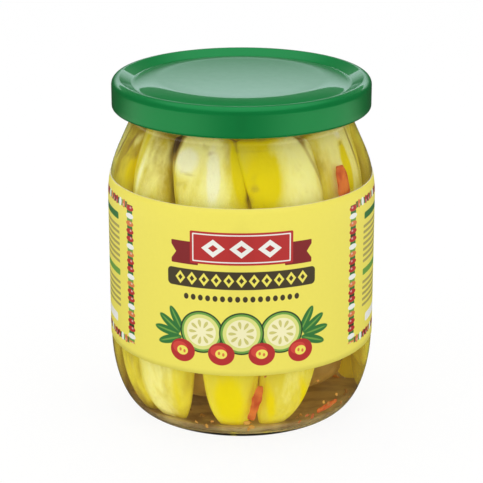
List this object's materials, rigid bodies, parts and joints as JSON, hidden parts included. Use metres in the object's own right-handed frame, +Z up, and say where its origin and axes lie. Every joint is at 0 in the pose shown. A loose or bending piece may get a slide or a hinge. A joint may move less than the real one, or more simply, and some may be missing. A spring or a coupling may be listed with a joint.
{
  "type": "pickle jar",
  "caption": "Shut glass jar with a green twist-off lid and a yellow paper label, filled with cucumber spears and strips of chilli in brine.",
  "frame": {"origin": "centre of the circle that the jar stands on, at the height of its foot", "axes": "+Z up the jar's axis to the lid, -Y towards the front of the label, +X to the right of the front"},
  "size_m": [0.0896, 0.0892, 0.114],
  "materials": {
    "glass": "clear, smooth",
    "lid_lacquer": "glossy green lacquer on tinplate",
    "label_paper": "coated paper, satin",
    "pickle": "wet cucumber flesh and skin",
    "chilli": "wet chilli skin"
  },
  "bodies": {
    "root": {"glass_jar": "glass", "lid": "lid_lacquer", "label": "label_paper", "pickle_heap": "pickle", "chilli_strip_1": "chilli", "chilli_strip_2": "chilli", "chilli_strip_3": "chilli", "chilli_strip_4": "chilli"}
  },
  "joints": []
}
